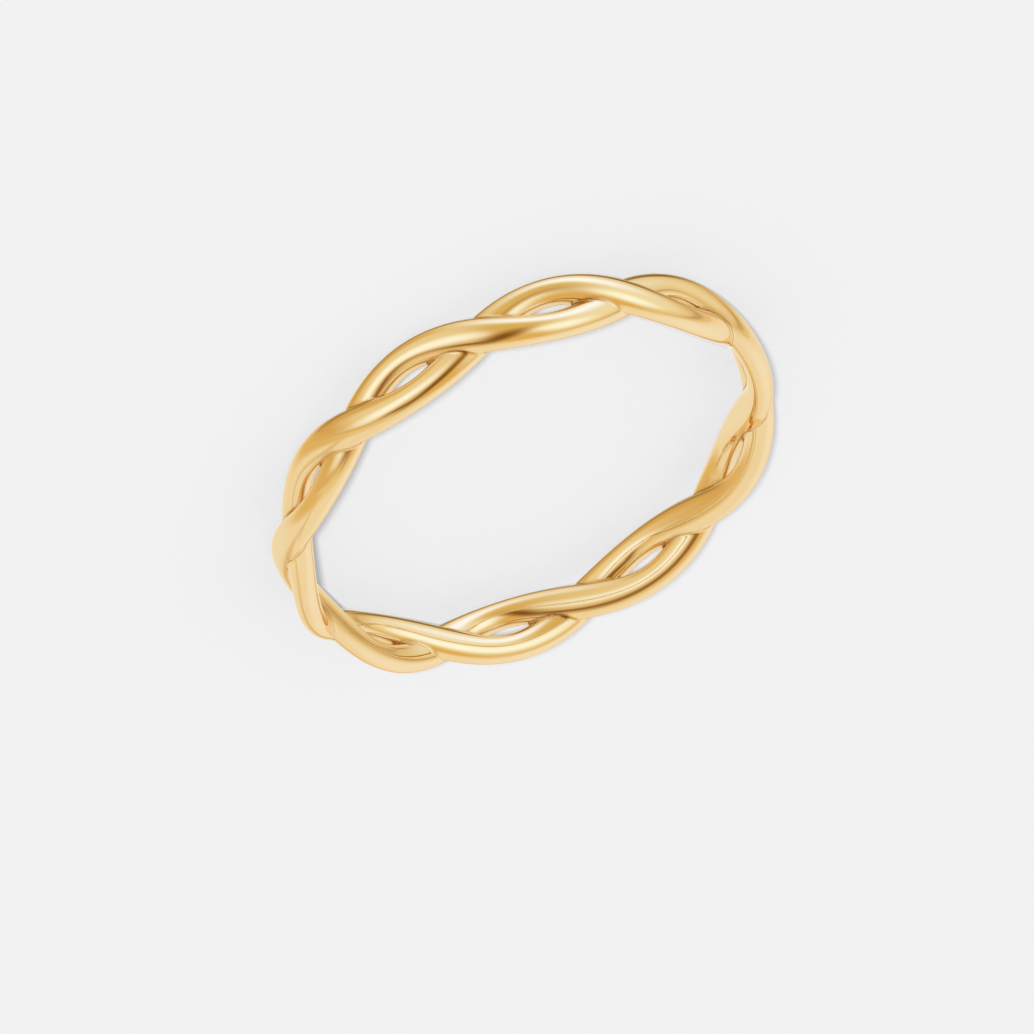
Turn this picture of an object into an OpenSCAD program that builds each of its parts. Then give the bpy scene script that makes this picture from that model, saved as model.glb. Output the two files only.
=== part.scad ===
// A slim finger ring: two oval gold strands wind round each other all the way round
// and are cast as one piece, so they run into each other at every crossing and leave
// a small pointed eye between each crossing and the next. The ring lies on its side,
// its axis is +Z, and one crossing is on +X. Lengths are millimetres.

/* [Finger hole] */
// Clear width inside the ring, between the innermost backs of the crossings
bore_d = 17.3; // [14:0.1:23]

/* [Twist] */
// Full turns that the two strands make round each other
twists = 5; // [4:1:6]
// Height between the middles of the two strands, half way along an eye
eye_rise = 1.54; // [1.4:0.02:1.6]
// Depth between the middles of the two strands where they cross
cross_depth = 0.34; // [0.24:0.02:0.5]

/* [Strands] */
// Thickness of a strand along the ring's radius, half way along an eye
thick_at_eye = 0.92; // [0.8:0.02:1.1]
// Thickness of a strand along the ring's radius, at a crossing
thick_at_cross = 1.0; // [0.9:0.02:1.2]
// Width of a strand along the ring's axis, half way along an eye
wide_at_eye = 1.12; // [1:0.02:1.3]
// Width of a strand at a crossing, square to its own slope
wide_at_cross = 1.4; // [1.2:0.02:1.6]

/* [Smoothness] */
// Sections along one full turn of a strand
turn_sections = 32; // [24:4:32]
// Sides of a strand's oval section
section_sides = 16; // [12:4:16]

/* [Hidden] */

gold = [0.87, 0.67, 0.37];

// How far a strand swings in and out, and up and down, from the ring's middle circle
swing_radial = cross_depth / 2;
swing_axial = eye_rise / 2;

// Radius of the circle that both strands wind round
middle_r = bore_d / 2 + thick_at_cross / 2 + swing_radial;

// Half the height of the whole band, which is what it stands up from the table
half_height = swing_axial + wide_at_eye / 2;

// Sections of one strand, all the way round the ring
sections = twists * turn_sections;

// Turn of a strand about the middle circle, at ring angle t: 0 outermost, 90 uppermost.
// It falls as t grows, which makes the twist a right-handed one.
function turn_at(t, start) = start - twists * t;

// A size that is one value at the eyes and another at the crossings, and runs
// smoothly between them twice in each turn
function eased(at_eye, at_cross, turn) =
    (at_cross + at_eye) / 2 + (at_cross - at_eye) / 2 * cos(2 * turn);

// Middle of the strand as [outwards, along, upwards] at ring angle t
function middle_at(turn) =
    [middle_r + swing_radial * cos(turn), 0, swing_axial * sin(turn)];

// Direction that the strand runs in there, from the slopes of its two swings
function along_at(turn) =
    let (
        per_radian = [
            twists * swing_radial * sin(turn),
            middle_r + swing_radial * cos(turn),
            -twists * swing_axial * cos(turn)
        ]
    )
    per_radian / norm(per_radian);

// The outward direction made square to the strand
function outward_from(along) =
    let (square = [1, 0, 0] - along.x * along)
    square / norm(square);

// A point given as [outwards, along, upwards], carried to ring angle t
function carried_to(p, t) =
    [p.x * cos(t) - p.y * sin(t), p.x * sin(t) + p.y * cos(t), p.z];

// One oval section of a strand: section_sides points, square to the strand
function section_at(t, start) =
    let (
        turn = turn_at(t, start),
        along = along_at(turn),
        outward = outward_from(along),
        upward = cross(outward, along),
        half_thick = eased(thick_at_eye, thick_at_cross, turn) / 2,
        half_wide = eased(wide_at_eye, wide_at_cross, turn) / 2
    )
    [for (j = [0 : section_sides - 1])
        let (a = 360 * j / section_sides)
        carried_to(
            middle_at(turn)
                + half_thick * cos(a) * outward
                + half_wide * sin(a) * upward,
            t)];

// Place in the point list of corner j of section i, both counted round and round
function corner(i, j) =
    (i % sections) * section_sides + j % section_sides;

// One closed strand, swept through all its sections
module strand(start) {
    polyhedron(
        points = [for (i = [0 : sections - 1])
            each section_at(360 * i / sections, start)],
        faces = [for (i = [0 : sections - 1], j = [0 : section_sides - 1])
            each [
                [corner(i, j), corner(i, j + 1), corner(i + 1, j + 1)],
                [corner(i, j), corner(i + 1, j + 1), corner(i + 1, j)]
            ]],
        convexity = 4
    );
}

// The whole ring: the second strand starts half a turn behind the first, and the
// two are one body of metal where they meet
module twist_band() {
    color(gold)
        translate([0, 0, half_height])
            union() {
                strand(0);
                strand(180);
            }
}

twist_band();
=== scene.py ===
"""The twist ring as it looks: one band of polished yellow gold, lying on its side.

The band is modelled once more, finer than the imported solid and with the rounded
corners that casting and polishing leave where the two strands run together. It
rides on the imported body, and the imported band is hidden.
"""

import logging
import math
from dataclasses import dataclass, field

import bmesh
import bpy
import numpy as np
from mathutils import Matrix, Vector


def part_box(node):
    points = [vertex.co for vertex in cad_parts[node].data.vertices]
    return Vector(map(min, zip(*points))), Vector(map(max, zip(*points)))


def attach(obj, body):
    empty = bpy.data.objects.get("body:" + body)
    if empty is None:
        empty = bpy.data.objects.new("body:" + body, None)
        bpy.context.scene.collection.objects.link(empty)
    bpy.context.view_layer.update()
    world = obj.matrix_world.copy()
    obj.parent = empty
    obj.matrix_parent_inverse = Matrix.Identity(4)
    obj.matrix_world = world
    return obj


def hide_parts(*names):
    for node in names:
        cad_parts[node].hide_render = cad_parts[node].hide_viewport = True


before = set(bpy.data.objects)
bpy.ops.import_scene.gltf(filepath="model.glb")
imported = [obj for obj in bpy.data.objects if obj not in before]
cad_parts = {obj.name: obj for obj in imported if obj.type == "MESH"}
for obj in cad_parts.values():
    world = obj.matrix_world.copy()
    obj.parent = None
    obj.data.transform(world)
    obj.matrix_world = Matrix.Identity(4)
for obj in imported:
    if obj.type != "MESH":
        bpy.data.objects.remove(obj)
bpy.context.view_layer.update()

MM = 0.001

CORNER_SHADE_AND_SKIN = "corner_shade_and_skin"
SEAM = "seam_off_mm"
STARTS = (0.0, math.pi)
FOOT_ROUNDS = 3

# The least that these sizes may be, so that nothing is divided by zero.
NEAR_ZERO = 1e-9
LEAST_STEEP = 1e-6
LEAST_AHEAD = 0.001

# Glossy Depth is 1 where light meets the metal first and 2 where it meets it again.
FIRST_MIRRORING = 1.5

Colour = tuple[float, float, float, float]
Socket = bpy.types.NodeSocket

log = logging.getLogger("twist_ring")


def linear(hex_colour: str) -> Colour:
    """Turns an sRGB hex colour into the linear one that a shader takes.

    Args:
        hex_colour: Six hex digits, with or without a leading #.

    Returns:
        Red, green, blue and an alpha of 1, each from 0 to 1.
    """
    digits = hex_colour.lstrip("#")
    shares = [int(digits[i:i + 2], 16) / 255 for i in (0, 2, 4)]
    turned = [s / 12.92 if s <= 0.04045 else ((s + 0.055) / 1.055) ** 2.4 for s in shares]
    return (*turned, 1.0)


def node(tree: bpy.types.NodeTree, kind: str, inputs: dict[str | int, object] | None = None,
         **settings: object) -> bpy.types.Node:
    """Adds a node with its settings, its inputs' values and its links.

    Args:
        tree: The nodes that it joins.
        kind: The node's type.
        inputs: For each input, by name or number, a value or the socket that feeds it.
        **settings: The node's own properties.

    Returns:
        The node.
    """
    made = tree.nodes.new(kind)
    for name, value in settings.items():
        setattr(made, name, value)
    for key, value in (inputs or {}).items():
        socket = find_input(made, key)
        if isinstance(value, Socket):
            tree.links.new(value, socket)
        else:
            socket.default_value = value
    return made


def find_input(made: bpy.types.Node, key: str | int) -> Socket:
    """Finds a node's input by its number, or the one in use by its name.

    Args:
        made: The node.
        key: The input's number, name or identifier.

    Returns:
        The input's socket.
    """
    if isinstance(key, int):
        return made.inputs[key]
    return next(s for s in made.inputs if s.enabled and key in (s.name, s.identifier))


def result(made: bpy.types.Node) -> Socket:
    """The first of a node's outputs that is in use."""
    return next(s for s in made.outputs if s.enabled)


def put(name: str, data: bpy.types.ID) -> bpy.types.Object:
    """Puts a mesh, a lens or a lamp into the scene as an object of its own.

    Args:
        name: The object's name.
        data: What it holds.

    Returns:
        The object.
    """
    made = bpy.data.objects.new(name, data)
    bpy.context.scene.collection.objects.link(made)
    return made


def direction(azimuth: float, height: float) -> Vector:
    """Finds a direction from its angles, in degrees.

    Args:
        azimuth: Angle round Z, from -Y toward +X.
        height: Angle above the XY plane.

    Returns:
        The unit direction.
    """
    turn, rise = math.radians(azimuth), math.radians(height)
    return Vector((
        math.sin(turn) * math.cos(rise), -math.cos(turn) * math.cos(rise), math.sin(rise),
    ))


@dataclass(frozen=True)
class TwistForm:
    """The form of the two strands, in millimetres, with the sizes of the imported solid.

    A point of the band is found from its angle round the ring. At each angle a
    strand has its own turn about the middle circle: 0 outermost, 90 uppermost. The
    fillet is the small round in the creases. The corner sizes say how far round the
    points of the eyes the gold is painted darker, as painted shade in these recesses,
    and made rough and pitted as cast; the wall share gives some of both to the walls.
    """

    bore_d: float = 17.3
    twists: int = 5
    eye_rise: float = 1.54
    cross_depth: float = 0.34
    thick_at_eye: float = 0.92
    thick_at_cross: float = 1.0
    wide_at_eye: float = 1.12
    wide_at_cross: float = 1.4
    fillet: float = 0.09
    corner_wide: float = 0.1
    corner_high: float = 0.3
    wall_shade_and_skin: float = 0.12

    @property
    def swing_radial(self) -> float:
        """How far a strand swings in and out from the middle circle."""
        return self.cross_depth / 2

    @property
    def swing_axial(self) -> float:
        """How far a strand swings up and down from the middle circle."""
        return self.eye_rise / 2

    @property
    def middle_r(self) -> float:
        """Radius of the circle that both strands wind round."""
        return self.bore_d / 2 + self.thick_at_cross / 2 + self.swing_radial

    @property
    def half_height(self) -> float:
        """Half the height of the band, which is where its middle circle lies."""
        return self.swing_axial + self.wide_at_eye / 2

    def turn(self, angle: np.ndarray, start: float) -> np.ndarray:
        """Turn of a strand about the middle circle, in radians."""
        return start - self.twists * angle

    def halves(self, turn: np.ndarray) -> tuple[np.ndarray, np.ndarray]:
        """Half the thickness and half the width of a strand at that turn.

        Args:
            turn: Turns of the strand, in radians.

        Returns:
            The two half sizes, in millimetres.
        """
        swell = np.cos(2 * turn)
        thick = (self.thick_at_cross + self.thick_at_eye) / 4 \
            + (self.thick_at_cross - self.thick_at_eye) / 4 * swell
        wide = (self.wide_at_cross + self.wide_at_eye) / 4 \
            + (self.wide_at_cross - self.wide_at_eye) / 4 * swell
        return thick, wide

    def axes(self, angle: np.ndarray, start: float) -> tuple[np.ndarray, ...]:
        """Middle of a strand and the three directions of its section there.

        Args:
            angle: Angles round the ring, in radians.
            start: The strand's turn at angle 0, in radians.

        Returns:
            Middle points, then unit directions along, outwards and upwards.
        """
        turn = self.turn(angle, start)
        reach = self.middle_r + self.swing_radial * np.cos(turn)
        middle = np.stack([reach, 0 * turn, self.swing_axial * np.sin(turn)], -1)
        slope = np.stack([
            self.twists * self.swing_radial * np.sin(turn),
            reach,
            -self.twists * self.swing_axial * np.cos(turn),
        ], -1)
        along = slope / np.linalg.norm(slope, axis=-1, keepdims=True)
        outward = np.array([1.0, 0.0, 0.0]) - along[..., :1] * along
        outward /= np.linalg.norm(outward, axis=-1, keepdims=True)
        upward = np.cross(outward, along)
        carried = [self.carry(v, angle) for v in (middle, along, outward, upward)]
        carried[0][..., 2] += self.half_height
        return tuple(carried)

    @staticmethod
    def carry(local: np.ndarray, angle: np.ndarray) -> np.ndarray:
        """Turns outwards, along and upwards into X, Y and Z at each ring angle.

        Args:
            local: Outward, along and upward parts, a row for each angle.
            angle: Angles round the ring, in radians.

        Returns:
            The same rows as X, Y and Z.
        """
        c, s = np.cos(angle), np.sin(angle)
        x, y, z = local[..., 0], local[..., 1], local[..., 2]
        return np.stack([x * c - y * s, x * s + y * c, z], -1)

    def foot(self, points: np.ndarray, start: float, angle: np.ndarray,
             rounds: int) -> np.ndarray:
        """Angle round the ring at which a strand's middle is nearest each point.

        Args:
            points: Points in millimetres, a row each.
            start: The strand's turn at angle 0, in radians.
            angle: A first guess for each point, in radians.
            rounds: How often the guess is mended.

        Returns:
            The angles, in radians.
        """
        for _ in range(rounds):
            middle, along, _, _ = self.axes(angle, start)
            ahead = ((points - middle) * along).sum(-1)
            angle = angle + ahead * along_share(along, angle) / self.middle_r
        return angle

    def off_strand(self, points: np.ndarray, start: float, angle: np.ndarray) -> np.ndarray:
        """How far points are outside one strand's oval surface.

        Args:
            points: Points in millimetres, a row each.
            start: The strand's turn at angle 0, in radians.
            angle: About where the strand's middle is nearest, in radians.

        Returns:
            Distances in millimetres, below 0 inside the strand.
        """
        angle = self.foot(points, start, angle, 1)
        middle, _, outward, upward = self.axes(angle, start)
        away = points - middle
        thick, wide = self.halves(self.turn(angle, start))
        x = (away * outward).sum(-1)
        y = (away * upward).sum(-1)
        ratio = np.sqrt((x / thick) ** 2 + (y / wide) ** 2) + NEAR_ZERO
        steepness = np.sqrt((x / thick ** 2) ** 2 + (y / wide ** 2) ** 2) / ratio
        return (ratio - 1) / np.maximum(steepness, LEAST_STEEP)

    def feet(self, points: np.ndarray) -> tuple[np.ndarray, ...]:
        """Where each strand's middle is nearest each point."""
        guess = np.arctan2(points[:, 1], points[:, 0])
        return tuple(self.foot(points, start, guess, FOOT_ROUNDS) for start in STARTS)

    def off_both(self, points: np.ndarray, feet: tuple[np.ndarray, ...]) -> list[np.ndarray]:
        """How far points are outside each of the two strands."""
        return [self.off_strand(points, start, angle) for start, angle in zip(STARTS, feet)]

    def off_band(self, points: np.ndarray, feet: tuple[np.ndarray, ...]) -> np.ndarray:
        """How far points are outside the band, with its creases filled to a small round.

        Args:
            points: Points in millimetres, a row each.
            feet: Where each strand's middle is nearest each point, in radians.

        Returns:
            Distances in millimetres, below 0 inside the band.
        """
        first, second = self.off_both(points, feet)
        near = np.maximum(self.fillet - np.abs(first - second), 0) / self.fillet
        # In the crease itself the round stands a quarter of the fillet proud.
        return np.minimum(first, second) - near ** 2 * self.fillet / 4

    def outward_slope(self, points: np.ndarray, feet: tuple[np.ndarray, ...],
                      step: float = 0.004) -> np.ndarray:
        """Direction in which the distance from the band grows, not made a unit.

        Args:
            points: Points in millimetres, a row each.
            feet: Where each strand's middle is nearest each point, in radians.
            step: How far to each side the distance is taken, in millimetres.

        Returns:
            The slopes along X, Y and Z, a row each.
        """
        slopes = []
        for axis in range(3):
            shift = np.zeros(3)
            shift[axis] = step
            ahead = self.off_band(points + shift, feet)
            behind = self.off_band(points - shift, feet)
            slopes.append(ahead - behind)
        return np.stack(slopes, -1) / (2 * step)

    def seam_off(self, points: np.ndarray, feet: tuple[np.ndarray, ...]) -> np.ndarray:
        """How much nearer points are to one strand than to the other: 0 on the seam."""
        first, second = self.off_both(points, feet)
        return first - second

    def shade_and_skin_share(self, points: np.ndarray, outward: np.ndarray,
                     seam_off: np.ndarray) -> np.ndarray:
        """How much of the painted shade and the rough, pitted finish each point gets, inside an
        eye.

        Args:
            points: Points of the surface in millimetres, a row each.
            outward: Unit directions out of the surface there.
            seam_off: How far each is off the seam, in millimetres.

        Returns:
            Shares from 0 to 1: most in the pointed corners, and some on the walls.
        """
        # Painted shade: these shares darken the gold in the eyes' corners and on their walls,
        # where shade falls, and also roughen and pit it there.
        level = np.exp(-((points[:, 2] - self.half_height) / self.corner_high) ** 2)
        corner = np.exp(-(seam_off / self.corner_wide) ** 2)
        return level * np.maximum(corner, self.wall_shade_and_skin * outward[:, 2] ** 2)


def along_share(along: np.ndarray, angle: np.ndarray) -> np.ndarray:
    """Share of a strand's run that goes round the ring, and not in, out, up or down."""
    return -along[:, 0] * np.sin(angle) + along[:, 1] * np.cos(angle)


@dataclass
class TwistBand:
    """The whole ring: two strands swept, fused and settled onto their polished form."""

    form: TwistForm = field(default_factory=TwistForm)
    sections: int = 400
    sides: int = 32
    voxel: float = 0.0745
    settling: int = 3
    least_slope: float = 0.05

    def sweep(self) -> bpy.types.Object:
        """Sweeps both strands through their oval sections.

        Returns:
            One object with the two closed, still separate strands.
        """
        angles = np.arange(self.sections) * 2 * math.pi / self.sections
        joined = bmesh.new()
        for start in STARTS:
            middle, along, outward, upward = self.form.axes(angles, start)
            thick, wide = self.form.halves(self.form.turn(angles, start))
            strand = bmesh.new()
            for i in range(self.sections):
                place = Matrix((
                    (*(outward[i] * thick[i]), 0), (*(upward[i] * wide[i]), 0),
                    (*along[i], 0), (*middle[i], 1),
                )).transposed()
                bmesh.ops.create_circle(strand, segments=self.sides, radius=1, matrix=place)
            bmesh.ops.bridge_loops(strand, edges=strand.edges[:], use_cyclic=True)
            bmesh.ops.recalc_face_normals(strand, faces=strand.faces[:])
            part = bpy.data.meshes.new("strand")
            strand.to_mesh(part)
            strand.free()
            joined.from_mesh(part)
            bpy.data.meshes.remove(part)
        bmesh.ops.scale(joined, vec=Vector((MM, MM, MM)), verts=joined.verts[:])
        mesh = bpy.data.meshes.new("twist_band_polished")
        joined.to_mesh(mesh)
        joined.free()
        return put("twist_band_polished", mesh)

    def fuse(self, ring: bpy.types.Object) -> None:
        """Makes one skin of the two strands.

        Args:
            ring: The two swept strands, whose mesh is replaced.
        """
        remesh = ring.modifiers.new("fuse", "REMESH")
        remesh.mode = "VOXEL"
        remesh.voxel_size = self.voxel * MM
        graph = bpy.context.evaluated_depsgraph_get()
        fused = bpy.data.meshes.new_from_object(ring.evaluated_get(graph))
        ring.modifiers.clear()
        old = ring.data
        ring.data = fused
        bpy.data.meshes.remove(old)
        fused.name = ring.name

    def settle(self, ring: bpy.types.Object) -> None:
        """Moves every point onto the polished form and gives it that form's direction.

        Args:
            ring: The fused ring. It also gets the attributes that mark the seams, and the
                corners and walls of the eyes, which are painted darker as shade and made rough.
        """
        mesh = ring.data
        places = np.empty(len(mesh.vertices) * 3, np.float32)
        mesh.vertices.foreach_get("co", places)
        points = places.reshape(-1, 3).astype(float) / MM
        for _ in range(self.settling):
            feet = self.form.feet(points)
            slope = self.form.outward_slope(points, feet)
            off = self.form.off_band(points, feet)
            steps = off / np.maximum((slope ** 2).sum(-1), self.least_slope)
            points -= slope * steps[:, None]
        feet = self.form.feet(points)
        slope = self.form.outward_slope(points, feet)
        slope /= np.linalg.norm(slope, axis=-1, keepdims=True)
        mesh.vertices.foreach_set("co", (points * MM).astype(np.float32).ravel())
        off = self.form.seam_off(points, feet)
        # The eyes' corners and walls get painted shade, and a rough pitted finish, by this share.
        corner = self.form.shade_and_skin_share(points, slope, off)
        for name, values in ((SEAM, off), (CORNER_SHADE_AND_SKIN, corner)):
            marked = mesh.attributes.new(name, "FLOAT", "POINT")
            marked.data.foreach_set("value", values.astype(np.float32))
        mesh.shade_smooth()
        mesh.normals_split_custom_set_from_vertices(slope.tolist())
        mesh.update()

    def build(self) -> bpy.types.Object:
        """Sweeps, fuses and settles the ring.

        Returns:
            The ring, in one piece and not yet dressed.
        """
        ring = self.sweep()
        log.info("swept: %d faces", len(ring.data.polygons))
        self.fuse(ring)
        log.info("fused: %d faces", len(ring.data.polygons))
        self.settle(ring)
        return ring


@dataclass(frozen=True)
class PolishedGold:
    """18 carat yellow gold, cast and then buffed to a mirror by hand.

    The metal has no colour of its own but that of what it mirrors, warmed by the
    alloy. Buffing leaves a faint waviness that bends the reflections a little, a
    haze that comes and goes, and hairlines too fine to count. Thin brown lines are
    painted along the seams, partly for a dark seam and partly as painted shade in the
    crease. The pointed corners and walls of the eyes are painted a darker brown, as
    painted shade in these recesses, and keep the fine, pitted surface of the casting.
    """

    alloy: str = "#F2D8A6"
    alloy_deep: str = "#EED29C"
    edge: str = "#FBEBCF"
    skin_and_shade: str = "#C08C42"
    seam: str = "#B08040"
    seam_mm: float = 0.035
    seam_faintest: float = 0.15
    seam_darkest: float = 0.9
    tint_mm: float = 2.4
    haze_mm: float = 0.9
    cloud_from: float = 0.35
    cloud_over_seam: float = 0.6
    cloud_over_haze: float = 0.7
    haze_from: float = 0.03
    haze_to: float = 0.08
    skin_haze: float = 0.28
    wave_mm: float = 1.6
    wave_depth_mm: float = 0.0022
    hairline_mm: float = 0.05
    hairline_depth_mm: float = 0.00006
    hairline_drawn_out: float = 0.12
    pit_mm: float = 0.12
    pit_depth_mm: float = 0.02

    @property
    def tone(self) -> Colour:
        """The metal's own colour, half way between its two tints."""
        return tuple((a + b) / 2 for a, b in zip(linear(self.alloy), linear(self.alloy_deep)))

    def make(self) -> bpy.types.Material:
        """Makes the material.

        Returns:
            The gold, on Object coordinates and the band's marks of corners and seams.
        """
        gold = bpy.data.materials.new("yellow_gold_18ct_buffed")
        gold.use_nodes = True
        tree = gold.node_tree
        shader = tree.nodes["Principled BSDF"]
        shader.inputs["Metallic"].default_value = 1.0
        shader.inputs["Specular Tint"].default_value = linear(self.edge)
        place = node(tree, "ShaderNodeTexCoord")
        corner = node(tree, "ShaderNodeAttribute", attribute_name=CORNER_SHADE_AND_SKIN)
        in_mm = node(tree, "ShaderNodeVectorMath", operation="SCALE",
                     inputs={0: place.outputs["Object"], "Scale": 1 / MM})

        tint = node(tree, "ShaderNodeTexNoise", inputs={
            "Vector": result(in_mm), "Scale": 1 / self.tint_mm, "Detail": 2})
        metal = node(tree, "ShaderNodeMix", data_type="RGBA", inputs={
            "Factor": result(tint), "A": linear(self.alloy), "B": linear(self.alloy_deep)})
        cloud = node(tree, "ShaderNodeTexNoise", inputs={
            "Vector": result(in_mm), "Scale": 1 / self.haze_mm, "Detail": 3})
        # Painted shade: a thin brown line along each seam, partly a dark seam and partly painted
        # shade in the crease, fainter or darker with the cloud.
        off_seam = node(tree, "ShaderNodeMath", operation="ABSOLUTE", inputs={
            0: node(tree, "ShaderNodeAttribute", attribute_name=SEAM).outputs["Fac"]})
        in_seam = node(tree, "ShaderNodeMapRange", interpolation_type="SMOOTHSTEP", inputs={
            "Value": result(off_seam), "From Min": 0.0, "From Max": self.seam_mm,
            "To Min": 1.0, "To Max": 0.0})
        seam_darkness = node(tree, "ShaderNodeMapRange", inputs={
            "Value": result(cloud),
            "From Min": self.cloud_from, "From Max": self.cloud_over_seam,
            "To Min": self.seam_faintest, "To Max": self.seam_darkest})
        line = node(tree, "ShaderNodeMath", operation="MULTIPLY", inputs={
            0: result(in_seam), 1: result(seam_darkness)})
        seamed = node(tree, "ShaderNodeMix", data_type="RGBA", inputs={
            "Factor": result(line), "A": result(metal), "B": linear(self.seam)})
        # Painted shade: the eyes' corners and walls are mixed toward a darker brown.
        colour = node(tree, "ShaderNodeMix", data_type="RGBA", inputs={
            "Factor": corner.outputs["Fac"], "A": result(seamed), "B": linear(self.skin_and_shade)})
        tree.links.new(result(colour), shader.inputs["Base Color"])

        haze = node(tree, "ShaderNodeMapRange", inputs={
            "Value": result(cloud),
            "From Min": self.cloud_from, "From Max": self.cloud_over_haze,
            "To Min": self.haze_from, "To Max": self.haze_to})
        rough = node(tree, "ShaderNodeMix", data_type="FLOAT", inputs={
            "Factor": corner.outputs["Fac"], "A": result(haze), "B": self.skin_haze})
        tree.links.new(result(rough), shader.inputs["Roughness"])

        waves = node(tree, "ShaderNodeTexNoise", inputs={
            "Vector": result(in_mm), "Scale": 1 / self.wave_mm, "Detail": 1})
        wavy = node(tree, "ShaderNodeBump", inputs={
            "Strength": 1.0, "Distance": self.wave_depth_mm * MM, "Height": result(waves)})
        # Real hairlines are a few thousandths of a millimetre wide, too fine to show
        # here, so they are drawn as coarse as a pixel of the picture.
        drawn_out = node(tree, "ShaderNodeVectorMath", operation="MULTIPLY",
                         inputs={0: result(in_mm), 1: (1, 1, self.hairline_drawn_out)})
        hairs = node(tree, "ShaderNodeTexNoise", inputs={
            "Vector": result(drawn_out), "Scale": 1 / self.hairline_mm, "Detail": 2})
        lined = node(tree, "ShaderNodeBump", inputs={
            "Strength": 1.0, "Distance": self.hairline_depth_mm * MM,
            "Height": result(hairs), "Normal": result(wavy)})
        pits = node(tree, "ShaderNodeTexNoise", inputs={
            "Vector": result(in_mm), "Scale": 1 / self.pit_mm, "Detail": 4})
        pitted = node(tree, "ShaderNodeBump", inputs={
            "Strength": corner.outputs["Fac"], "Distance": self.pit_depth_mm * MM,
            "Height": result(pits), "Normal": result(lined)})
        tree.links.new(result(pitted), shader.inputs["Normal"])
        return gold


@dataclass(frozen=True)
class PhotoView:
    """The camera, at the photograph's angle to the ring and in its place in the frame.

    The ring stands on its edge in the photograph and lies on its side here, so the
    camera is rolled until the ring is seen as it is there.
    """

    azimuth: float = -13.75
    elevation: float = 33.97
    roll: float = 208.72
    distance: float = 675.0
    frame_px: float = 1034.0
    ring_px: tuple[float, float] = (525.2, 473.26)
    px_per_mm: float = 27.1
    sensor: float = 36.0
    clip_m: tuple[float, float] = (0.01, 20.0)

    @property
    def back(self) -> Vector:
        """Direction from the ring to the camera."""
        return direction(self.azimuth, self.elevation)

    def make(self, ring_middle: Vector) -> bpy.types.Object:
        """Makes the camera and sets it as the scene's.

        Args:
            ring_middle: The middle of the ring, in metres.

        Returns:
            The camera.
        """
        turn, roll = math.radians(self.azimuth), math.radians(self.roll)
        back = self.back
        level = Vector((math.cos(turn), math.sin(turn), 0))
        steep = back.cross(level)
        right = level * math.cos(roll) - steep * math.sin(roll)
        up = level * math.sin(roll) + steep * math.cos(roll)
        middle_px = self.frame_px / 2
        slide_right = (middle_px - self.ring_px[0]) / self.px_per_mm
        slide_up = (self.ring_px[1] - middle_px) / self.px_per_mm
        place = ring_middle + MM * (back * self.distance + right * slide_right + up * slide_up)
        lens = bpy.data.cameras.new("photo_view")
        lens.sensor_width = self.sensor
        lens.lens = self.sensor * self.distance * self.px_per_mm / self.frame_px
        lens.clip_start, lens.clip_end = self.clip_m
        camera = put("photo_view", lens)
        turned = Matrix((right, up, back)).transposed().to_4x4()
        turned.translation = place
        camera.matrix_world = turned
        bpy.context.scene.camera = camera
        return camera


@dataclass(frozen=True)
class Panel:
    """One soft-edged sheet of the studio, lit or dark, as a direction from the ring.

    Angles are degrees: azimuth round the studio's upright, from the side that the
    camera is on, and height above its level. A panel that leans is turned about the
    line to its middle. Its colour is the one that it shows in the gold.
    """

    role: str
    azimuth: float
    height: float
    half_wide: float
    half_high: float
    colour: str
    soft: float = 0.6
    lean: float = 0.0

    def axes(self, studio: Matrix) -> Matrix:
        """Finds how the panel is turned.

        Args:
            studio: The studio's directions, as columns.

        Returns:
            The panel's own sideways, upward and facing directions, as columns.
        """
        turn, rise, lean = (math.radians(a) for a in (self.azimuth, self.height, self.lean))
        facing = studio @ Vector((
            math.cos(rise) * math.cos(turn), math.cos(rise) * math.sin(turn), math.sin(rise),
        ))
        level = studio @ Vector((-math.sin(turn), math.cos(turn), 0))
        steep = facing.cross(level)
        sideways = level * math.cos(lean) + steep * math.sin(lean)
        upward = steep * math.cos(lean) - level * math.sin(lean)
        return Matrix((sideways, upward, facing)).transposed()


WALL_PANELS = (
    Panel("wall low on the left", -118, 14, 32, 22, "#D5A250", soft=0.7),
    Panel("glow round the left softbox", -80, 44, 36, 27, "#EBCB8A"),
    Panel("left softbox", -58, 40, 16, 27, "#FFF3D0", soft=0.8, lean=-14),
    Panel("wall under the left softbox", -78, 0, 50, 4, "#DCAA5C", soft=0.7, lean=9),
    Panel("wall beside the camera", 22, 36, 19, 42, "#DEA952", soft=0.5),
    Panel("glow round the right softbox", 80, 40, 36, 28, "#F1D698"),
    Panel("right softbox", 66, 43, 15, 18, "#FFF5D2", soft=0.8),
    Panel("glow round the back light", 156, 42, 38, 24, "#EED9AA"),
    Panel("back light", 163, 47, 20, 12, "#FEF8E8", soft=0.8),
    Panel("camera and stand", 2, 40, 10.5, 36, "#824E12", soft=0.95, lean=-14),
    Panel("stand's foot", -18, 17, 15, 7.5, "#955C1E", soft=0.95, lean=10),
    Panel("far edge of the table", 118, 3, 31, 3, "#C49D60", soft=0.7),
    Panel("dark beyond the table on the right", 171, 4, 14, 8, "#7C5C30", soft=0.7, lean=6),
    Panel("dark beyond the table on the left", -159, 3, 25, 7, "#A67D44", soft=0.7, lean=-6),
)

TABLE_PANELS = (
    Panel("table on the left", -100, -9, 42, 11, "#DFB05E", soft=0.8),
    Panel("table on the right", 105, -46, 52, 38, "#F4DCB0", soft=0.7),
    Panel("table behind on the left", -148, -40, 26, 18, "#EFDCB2", soft=0.7),
    Panel("table under the back light", 175, -32, 38, 20, "#EFDBAE", soft=0.7),
    Panel("far end of the table", 180, -12, 22, 6, "#96743F", soft=0.8),
    Panel("ring's own shadow", -140, -70, 46, 6, "#DFB778", soft=0.8),
    Panel("ring's own shadow, near side", -60, -33, 3.5, 24, "#DFB974", soft=0.8),
)


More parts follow.
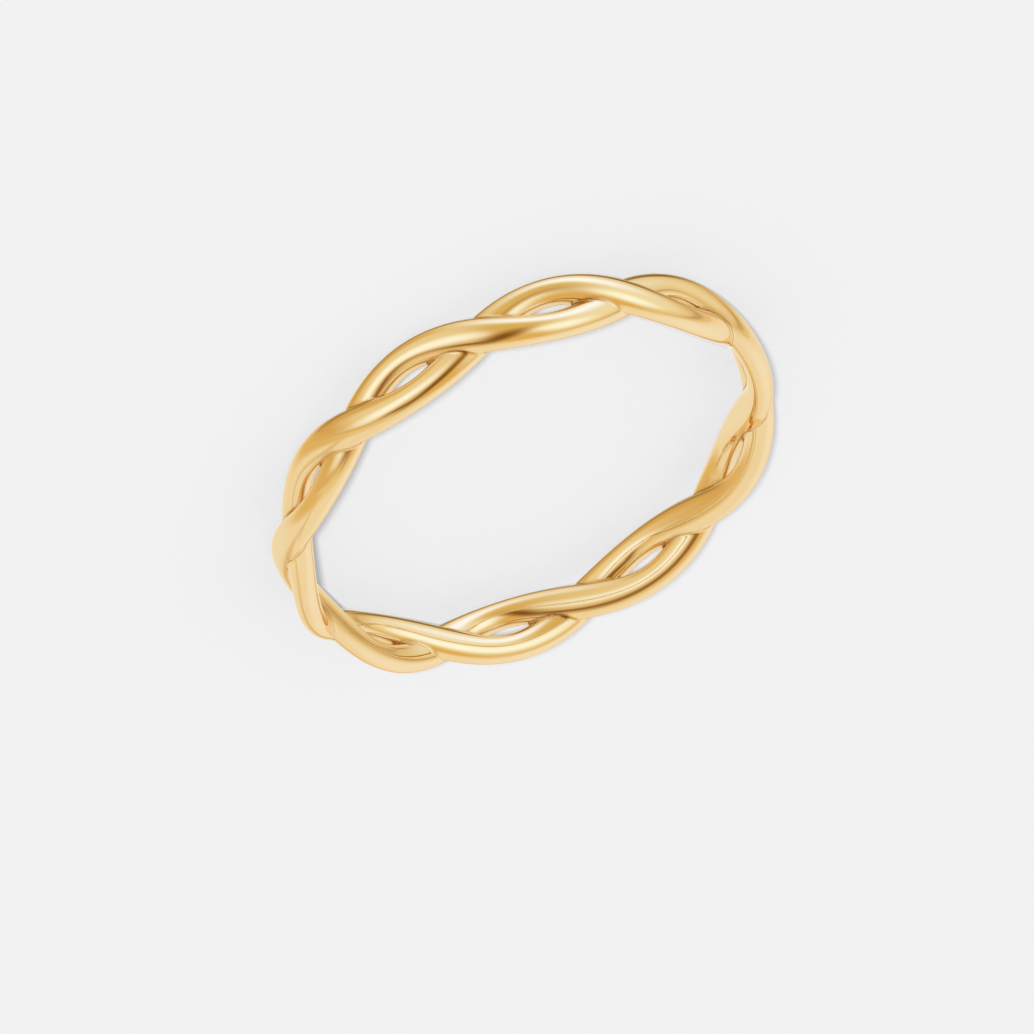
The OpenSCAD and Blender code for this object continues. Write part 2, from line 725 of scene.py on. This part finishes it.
@dataclass(frozen=True)
class Studio:
    """A plain pale floor, a soft key light for its shadow, and the studio that the gold mirrors.

    In the photograph the ring stands on its edge and leans a little. The table, walls
    and lights that show in it are turned here as the ring is, upright and all, and
    each colour of theirs is the one that it shows in the gold. The floor that the
    ring lies on is kept out of the metal, or it would cover them.
    """

    metal: Colour

    floor_side: float = 3.0
    floor_colour: str = "#F2F2F3"
    fill: float = 0.55
    through_twice: float = 0.55
    key: float = 2.57
    key_width: float = 5.0
    key_azimuth: float = -11.0
    key_height: float = 33.8
    upright_azimuth: float = -37.5
    upright_height: float = -15.6
    horizon: float = -6.0
    horizon_soft: float = 0.7
    skirting_high: float = 9.0
    skirting: str = "#E6BF7A"
    wall: str = "#DFB872"
    ceiling_from: float = 60.0
    ceiling_to: float = 80.0
    ceiling: str = "#D8AC58"
    table_deep: float = 22.0
    table_far: str = "#E9C076"
    table_near: str = "#EFD29B"
    thrown: str = "#C4C4C4"

    def lay_floor(self) -> bpy.types.Object:
        """Lays the floor.

        Returns:
            The floor, which the metal doesn't mirror.
        """
        shape = bmesh.new()
        bmesh.ops.create_grid(shape, x_segments=1, y_segments=1, size=self.floor_side / 2)
        mesh = bpy.data.meshes.new("floor")
        shape.to_mesh(mesh)
        shape.free()
        floor = put("floor", mesh)
        paper = bpy.data.materials.new("pale_matt_paper")
        paper.use_nodes = True
        shader = paper.node_tree.nodes["Principled BSDF"]
        shader.inputs["Base Color"].default_value = linear(self.floor_colour)
        shader.inputs["Roughness"].default_value = 1.0
        shader.inputs["Specular IOR Level"].default_value = 0.0
        mesh.materials.append(paper)
        floor.visible_glossy = False
        return floor

    def hang_key(self) -> bpy.types.Object:
        """Hangs the key light, which draws the ring's soft shadow on the floor.

        Returns:
            The light, which the metal doesn't mirror.
        """
        lamp = bpy.data.lights.new("key_light", "SUN")
        lamp.energy = self.key
        lamp.angle = math.radians(self.key_width)
        key = put("key_light", lamp)
        away = direction(self.key_azimuth, self.key_height)
        key.rotation_euler = away.to_track_quat("Z", "Y").to_euler()
        key.visible_glossy = False
        return key

    def axes(self, to_camera: Vector) -> Matrix:
        """The photograph's studio in this frame.

        Args:
            to_camera: Direction from the ring to the camera.

        Returns:
            Its directions toward the camera, to the side and upright, as columns.
        """
        upright = direction(self.upright_azimuth, self.upright_height)
        toward = (to_camera - to_camera.dot(upright) * upright).normalized()
        return Matrix((toward, upright.cross(toward), upright)).transposed()

    def light(self, seen: str) -> Colour:
        """The light that shows as that colour in the metal, over 1 where it glows."""
        return (*(s / m for s, m in zip(linear(seen)[:3], self.metal[:3])), 1.0)

    def surround(self, to_camera: Vector) -> bpy.types.World:
        """Makes the world: plain and pale, with the studio in it for the metal to mirror.

        Args:
            to_camera: Direction from the ring to the camera.

        Returns:
            The world, set as the scene's.
        """
        world = bpy.data.worlds.new("studio")
        world.use_nodes = True
        world.cycles.sampling_method = "NONE"
        tree = world.node_tree
        studio = self.axes(to_camera)
        away = node(tree, "ShaderNodeTexCoord").outputs["Generated"]
        upright = node(tree, "ShaderNodeVectorMath", operation="DOT_PRODUCT",
                       inputs={0: away, 1: tuple(studio.col[2])}).outputs["Value"]
        height = result(node(tree, "ShaderNodeMath", operation="ARCSINE", inputs={0: upright}))

        low_wall = self.rise(tree, height, self.horizon, self.horizon + self.skirting_high)
        walls = node(tree, "ShaderNodeMix", data_type="RGBA", inputs={
            "Factor": low_wall, "A": self.light(self.skirting), "B": self.light(self.wall)})
        over = self.rise(tree, height, self.ceiling_from, self.ceiling_to)
        room = node(tree, "ShaderNodeMix", data_type="RGBA", inputs={
            "Factor": over, "A": result(walls), "B": self.light(self.ceiling)})
        far_off = self.rise(tree, height, self.horizon - self.table_deep, self.horizon)
        table = node(tree, "ShaderNodeMix", data_type="RGBA", inputs={
            "Factor": far_off, "A": self.light(self.table_near), "B": self.light(self.table_far)})
        above = self.rise(tree, height, self.horizon - self.horizon_soft,
                          self.horizon + self.horizon_soft)
        seen = node(tree, "ShaderNodeMix", data_type="RGBA", inputs={
            "Factor": above,
            "A": self.cover(tree, away, TABLE_PANELS, result(table), studio),
            "B": self.cover(tree, away, WALL_PANELS, result(room), studio)})

        # Light that meets the gold twice keeps part of what it would lose, because the
        # photograph's seams are nearly as pale as the metal round them.
        path = node(tree, "ShaderNodeLightPath")
        again = node(tree, "ShaderNodeMath", operation="GREATER_THAN", inputs={
            0: path.outputs["Glossy Depth"], 1: FIRST_MIRRORING})
        twice = node(tree, "ShaderNodeMath", operation="MULTIPLY", inputs={
            0: result(again), 1: self.through_twice})
        seen = node(tree, "ShaderNodeMix", data_type="RGBA", blend_type="DIVIDE", inputs={
            "Factor": result(twice), "A": result(seen), "B": self.metal})
        # Light that the gold throws back onto the paper is kept free of its colour, as
        # the photograph's floor is a plain grey right up to the ring.
        thrown = node(tree, "ShaderNodeMath", operation="MINIMUM", inputs={
            0: path.outputs["Diffuse Depth"], 1: 1.0})
        mirrored = node(tree, "ShaderNodeMix", data_type="RGBA", inputs={
            "Factor": result(thrown), "A": result(seen), "B": self.light(self.thrown)})
        light = node(tree, "ShaderNodeMix", data_type="RGBA", inputs={
            "Factor": path.outputs["Is Glossy Ray"], "A": (self.fill, self.fill, self.fill, 1),
            "B": result(mirrored)})
        tree.links.new(result(light), tree.nodes["Background"].inputs["Color"])
        bpy.context.scene.world = world
        return world

    @staticmethod
    def rise(tree: bpy.types.NodeTree, height: Socket, start: float, end: float) -> Socket:
        """Socket that runs softly from 0 to 1 between two heights, given in degrees."""
        return result(node(tree, "ShaderNodeMapRange", interpolation_type="SMOOTHSTEP", inputs={
            "Value": height, "From Min": math.radians(start), "From Max": math.radians(end)}))

    def cover(self, tree: bpy.types.NodeTree, away: Socket, panels: tuple[Panel, ...],
              under: Socket, studio: Matrix) -> Socket:
        """Lays panels over a colour, each over the one before.

        Args:
            tree: The world's nodes.
            away: Socket with the direction looked in.
            panels: The panels, the lowest first.
            under: Socket with the colour under them.
            studio: The studio's directions, as columns.

        Returns:
            Socket with the colour seen.
        """
        for panel in panels:
            under = result(node(tree, "ShaderNodeMix", data_type="RGBA", inputs={
                "Factor": self.mask(tree, away, panel, studio), "A": under,
                "B": self.light(panel.colour)}))
        return under

    @staticmethod
    def mask(tree: bpy.types.NodeTree, away: Socket, panel: Panel, studio: Matrix) -> Socket:
        """Finds how much of a panel is seen in each direction.

        Args:
            tree: The world's nodes.
            away: Socket with the direction looked in.
            panel: The panel.
            studio: The studio's directions, as columns.

        Returns:
            Socket with 1 on the panel and 0 off it, soft at its edge.
        """
        turned = node(tree, "ShaderNodeMapping", vector_type="TEXTURE", inputs={
            "Vector": away,
            "Rotation": tuple(panel.axes(studio).to_euler()),
            "Scale": (math.tan(math.radians(panel.half_wide)),
                      math.tan(math.radians(panel.half_high)), 1),
        }, label=panel.role)
        facing = node(tree, "ShaderNodeSeparateXYZ", inputs={"Vector": turned.outputs["Vector"]})
        ahead = node(tree, "ShaderNodeMath", operation="MAXIMUM",
                     inputs={0: facing.outputs["Z"], 1: LEAST_AHEAD})
        flat = node(tree, "ShaderNodeVectorMath", operation="DIVIDE",
                    inputs={0: turned.outputs["Vector"], 1: ahead.outputs["Value"]})
        off = node(tree, "ShaderNodeVectorMath", operation="ABSOLUTE",
                   inputs={0: flat.outputs["Vector"]})
        inner, outer = (1 - panel.soft,) * 3, (1 + panel.soft,) * 3
        inside = node(tree, "ShaderNodeMapRange", data_type="FLOAT_VECTOR",
                      interpolation_type="SMOOTHSTEP", inputs={
                          "Vector": off.outputs["Vector"], "From_Min_FLOAT3": inner,
                          "From_Max_FLOAT3": outer, "To_Min_FLOAT3": (1, 1, 1),
                          "To_Max_FLOAT3": (0, 0, 0)})
        shares = node(tree, "ShaderNodeSeparateXYZ", inputs={"Vector": inside.outputs["Vector"]})
        return node(tree, "ShaderNodeMath", operation="MULTIPLY", inputs={
            0: shares.outputs["X"], 1: shares.outputs["Y"]}).outputs["Value"]

    def make(self, to_camera: Vector) -> None:
        """Makes the floor, the key light and the surroundings.

        Args:
            to_camera: Direction from the ring to the camera.
        """
        self.lay_floor()
        self.hang_key()
        self.surround(to_camera)


def main() -> None:
    """Builds the ring, its finish, the camera and the studio, in that order."""
    logging.basicConfig(level=logging.INFO, format="%(name)s: %(message)s")
    bpy.context.scene.view_settings.view_transform = "Standard"
    low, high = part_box("twist_band")
    view = PhotoView()
    view.make((low + high) / 2)
    log.info("camera: %.0f mm from the ring", view.distance)
    ring = TwistBand().build()
    gold = PolishedGold()
    ring.data.materials.append(gold.make())
    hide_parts("twist_band")
    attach(ring, "root")
    log.info("twist band: %d faces, dressed in %s", len(ring.data.polygons),
             ring.data.materials[0].name)
    Studio(metal=gold.tone).make(view.back)
    log.info("studio: floor, key light and %d panels", len(WALL_PANELS) + len(TABLE_PANELS))


if __name__ == "__main__":
    main()
